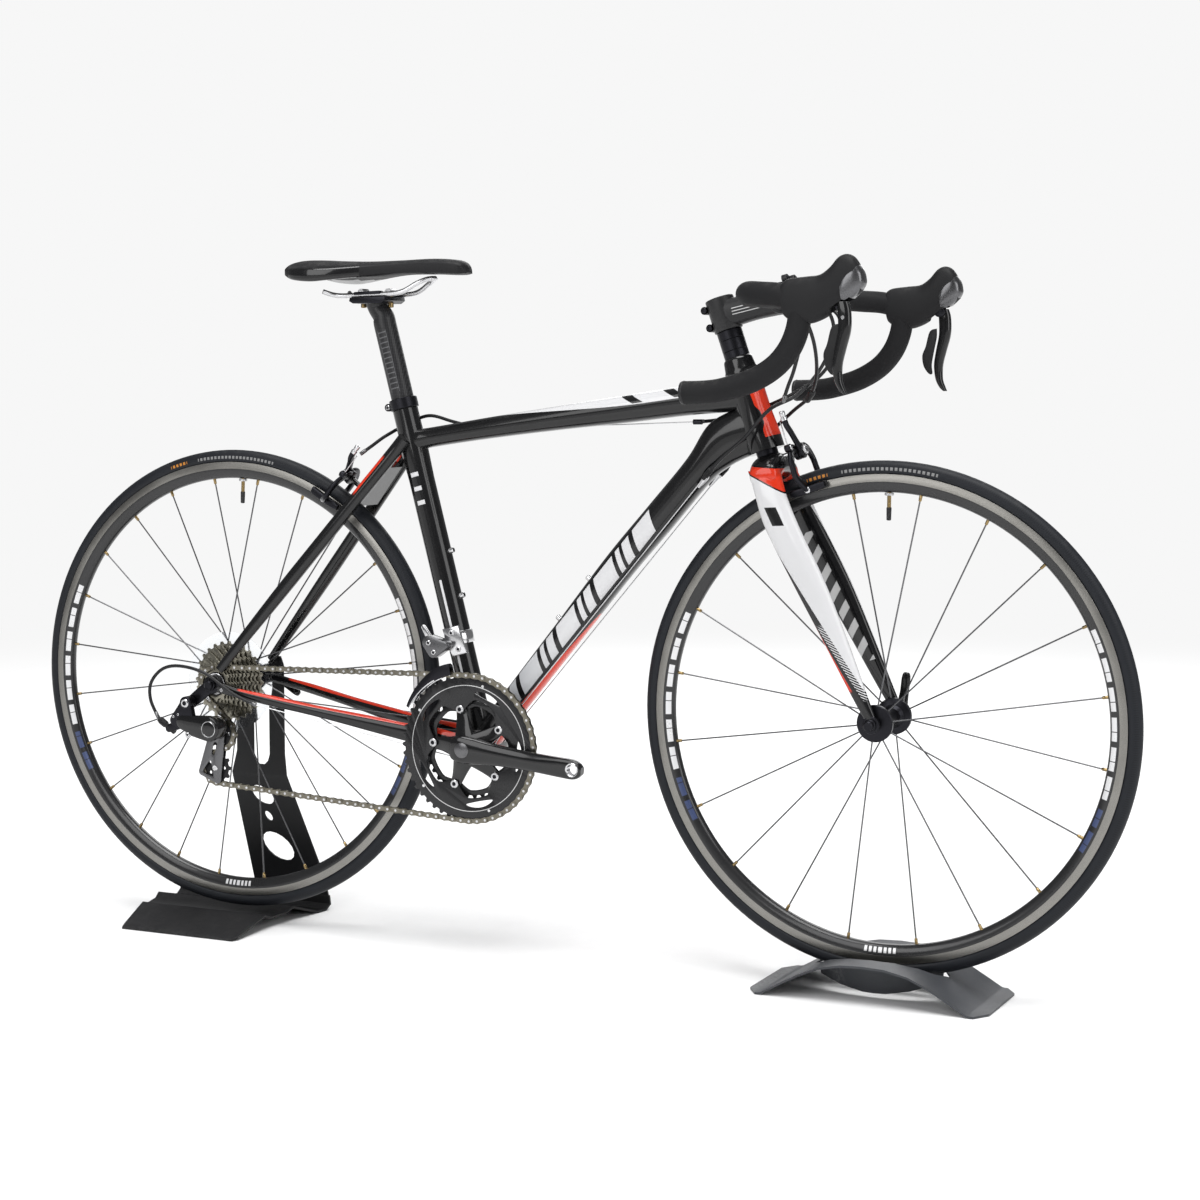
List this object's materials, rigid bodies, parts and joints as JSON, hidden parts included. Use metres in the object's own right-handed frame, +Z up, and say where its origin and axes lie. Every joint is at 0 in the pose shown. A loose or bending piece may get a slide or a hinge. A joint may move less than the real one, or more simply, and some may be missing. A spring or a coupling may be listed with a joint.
{
  "type": "road bicycle on a display stand",
  "caption": "Drop-bar road racing bicycle with spoked wheels, chain drive and rim brakes, held upright by a folded sheet stand at the rear axle and a cradle under the front wheel.",
  "frame": {"origin": "on the floor, in the bicycle's middle plane, half way between the axles", "axes": "+X forward, +Y to the rider's left, +Z up"},
  "size_m": [1.655, 0.424, 0.9598],
  "materials": {
    "carbon": "gloss clear coat over black fibre",
    "fork": "gloss paint, white over black",
    "black_metal": "black anodised and painted",
    "alloy": "polished",
    "dark_steel": "oiled steel",
    "tyre": "smooth tread",
    "rim": "black with a machined brake track",
    "tape": "matte wrap",
    "hood": "matte",
    "saddle": "matte cover",
    "plastic": "satin",
    "clear": "clear",
    "sheet": "satin powder coat"
  },
  "bodies": {
    "stands": {"front_stand": "sheet", "rear_stand": "sheet"},
    "frame": {"head_tube": "carbon", "top_tube": "carbon", "down_tube": "carbon", "seat_tube": "carbon", "bottom_bracket_shell": "carbon", "right_chainstay": "carbon", "left_chainstay": "carbon", "right_seatstay": "carbon", "left_seatstay": "carbon", "brake_bridge": "carbon", "seat_clamp": "black_metal", "front_derailleur_mount": "alloy", "derailleur_body": "black_metal", "chain": "dark_steel", "rear_skewer": "black_metal", "right_shift_housing": "plastic", "left_shift_housing": "plastic", "rear_brake_housing": "plastic", "rear_derailleur_housing": "plastic", "rear_brake_cable": "plastic"},
    "seat": {"seatpost": "carbon", "saddle_rails": "alloy", "saddle": "saddle"},
    "steering": {"fork": "fork", "headset_spacers": "black_metal", "stem": "black_metal", "stem_faceplate": "black_metal", "handlebar": "tape", "right_hood": "hood", "left_hood": "hood", "front_skewer": "black_metal", "front_brake_housing": "plastic"},
    "front_wheel": {"front_tyre": "tyre", "front_rim": "rim", "front_hub": "black_metal"},
    "rear_wheel": {"rear_tyre": "tyre", "rear_rim": "rim", "rear_hub": "black_metal", "spoke_guard": "clear"},
    "cassette": {"cassette": "dark_steel"},
    "crankset": {"right_crank": "black_metal", "left_crank": "black_metal", "big_chainring": "dark_steel", "small_chainring": "dark_steel"},
    "derailleur_cage": {"derailleur_cage": "black_metal"},
    "upper_jockey": {"upper_jockey_wheel": "plastic"},
    "lower_jockey": {"lower_jockey_wheel": "plastic"},
    "front_derailleur_cage": {"front_derailleur_cage": "alloy"},
    "right_brake_lever": {"right_brake_lever": "black_metal"},
    "left_brake_lever": {"left_brake_lever": "black_metal"},
    "right_shift_paddle": {"right_shift_paddle": "plastic"},
    "left_shift_paddle": {"left_shift_paddle": "plastic"},
    "front_brake_right_arm": {"front_brake_right_arm": "black_metal"},
    "front_brake_left_arm": {"front_brake_left_arm": "black_metal"},
    "rear_brake_right_arm": {"rear_brake_right_arm": "black_metal"},
    "rear_brake_left_arm": {"rear_brake_left_arm": "black_metal"},
    "front_skewer_lever": {"front_skewer_lever": "black_metal"},
    "rear_skewer_lever": {"rear_skewer_lever": "black_metal"}
  },
  "joints": [
    {"name": "bicycle_lift", "type": "slide", "parent": "stands", "child": "frame", "axis": [0, 0, 1], "range_m": [0, 0.18]},
    {"name": "steering", "type": "hinge", "parent": "frame", "child": "steering", "pos_m": [0.32883, 0, 0.70108], "axis": [-0.3256, 0, 0.9455], "range_deg": [-3, 3]},
    {"name": "front_wheel_spin", "type": "hinge", "parent": "steering", "child": "front_wheel", "pos_m": [0.4935, 0, 0.358], "axis": [0, 1, 0], "continuous": true},
    {"name": "rear_wheel_spin", "type": "hinge", "parent": "frame", "child": "rear_wheel", "pos_m": [-0.4935, 0, 0.358], "axis": [0, 1, 0], "continuous": true},
    {"name": "crank_spin", "type": "hinge", "parent": "frame", "child": "crankset", "pos_m": [-0.08935, 0, 0.289], "axis": [0, 1, 0], "continuous": true},
    {"name": "cassette_spin", "type": "hinge", "parent": "frame", "child": "cassette", "pos_m": [-0.4935, 0, 0.358], "axis": [0, 1, 0], "continuous": true},
    {"name": "derailleur_cage_swing", "type": "hinge", "parent": "frame", "child": "derailleur_cage", "pos_m": [-0.4875, -0.065, 0.296], "axis": [0, -1, 0], "range_deg": [0, 40], "stiffness_Nm_per_rad": 0.12, "springref_deg": -45.84, "deforming": ["chain"]},
    {"name": "upper_jockey_spin", "type": "hinge", "parent": "derailleur_cage", "child": "upper_jockey", "pos_m": [-0.4855, -0.0592, 0.2865], "axis": [0, 1, 0], "continuous": true},
    {"name": "lower_jockey_spin", "type": "hinge", "parent": "derailleur_cage", "child": "lower_jockey", "pos_m": [-0.4935, -0.0592, 0.2365], "axis": [0, 1, 0], "continuous": true},
    {"name": "front_derailleur_shift", "type": "slide", "parent": "frame", "child": "front_derailleur_cage", "axis": [0, 1, 0], "range_m": [0, 0.0068], "deforming": ["chain"]},
    {"name": "seatpost_height", "type": "slide", "parent": "frame", "child": "seat", "axis": [-0.2554, 0, 0.9668], "range_m": [-0.065, 0.035]},
    {"name": "right_brake_lever_pull", "type": "hinge", "parent": "steering", "child": "right_brake_lever", "pos_m": [0.5, -0.197, 0.8845], "axis": [0, 1, 0], "range_deg": [0, 18], "stiffness_Nm_per_rad": 0.3, "springref_deg": -17.19},
    {"name": "right_shift_paddle_swing", "type": "hinge", "parent": "right_brake_lever", "child": "right_shift_paddle", "pos_m": [0.4915, -0.19375, 0.8575], "axis": [1, 0, 0], "range_deg": [0, 20], "stiffness_Nm_per_rad": 0.04, "springref_deg": -17.19},
    {"name": "left_brake_lever_pull", "type": "hinge", "parent": "steering", "child": "left_brake_lever", "pos_m": [0.5, 0.197, 0.8845], "axis": [0, 1, 0], "range_deg": [0, 18], "stiffness_Nm_per_rad": 0.3, "springref_deg": -17.19},
    {"name": "left_shift_paddle_swing", "type": "hinge", "parent": "left_brake_lever", "child": "left_shift_paddle", "pos_m": [0.4915, 0.19375, 0.8575], "axis": [-1, 0, 0], "range_deg": [0, 20], "stiffness_Nm_per_rad": 0.04, "springref_deg": -17.19},
    {"name": "front_brake_right_arm_close", "type": "hinge", "parent": "steering", "child": "front_brake_right_arm", "pos_m": [0.33339, 0, 0.68784], "axis": [0.9455, 0, 0.3256], "range_deg": [0, 2]},
    {"name": "front_brake_left_arm_close", "type": "hinge", "parent": "steering", "child": "front_brake_left_arm", "pos_m": [0.33339, 0, 0.68784], "axis": [0.9455, 0, 0.3256], "range_deg": [-2, 0]},
    {"name": "rear_brake_right_arm_close", "type": "hinge", "parent": "frame", "child": "rear_brake_right_arm", "pos_m": [-0.27022, 0, 0.63008], "axis": [0.7641, 0, -0.6451], "range_deg": [0, 2]},
    {"name": "rear_brake_left_arm_close", "type": "hinge", "parent": "frame", "child": "rear_brake_left_arm", "pos_m": [-0.27022, 0, 0.63008], "axis": [0.7641, 0, -0.6451], "range_deg": [-2, 0]},
    {"name": "front_skewer_lever_swing", "type": "hinge", "parent": "steering", "child": "front_skewer_lever", "pos_m": [0.4935, 0.0685, 0.358], "axis": [-0.995, 0, 0.1], "range_deg": [0, 180]},
    {"name": "rear_skewer_lever_swing", "type": "hinge", "parent": "frame", "child": "rear_skewer_lever", "pos_m": [-0.4935, 0.0855, 0.358], "axis": [0.5408, 0, 0.8412], "range_deg": [0, 180]}
  ],
  "couplings": [
    {"joint": "cassette_spin", "follows": "crank_spin", "ratio": 4.1667},
    {"joint": "upper_jockey_spin", "follows": "crank_spin", "ratio": -4.5455},
    {"joint": "lower_jockey_spin", "follows": "crank_spin", "ratio": 4.5455},
    {"joint": "front_brake_right_arm_close", "follows": "left_brake_lever_pull", "ratio": 0.11111},
    {"joint": "front_brake_left_arm_close", "follows": "left_brake_lever_pull", "ratio": -0.11111},
    {"joint": "rear_brake_right_arm_close", "follows": "right_brake_lever_pull", "ratio": 0.11111},
    {"joint": "rear_brake_left_arm_close", "follows": "right_brake_lever_pull", "ratio": -0.11111}
  ]
}
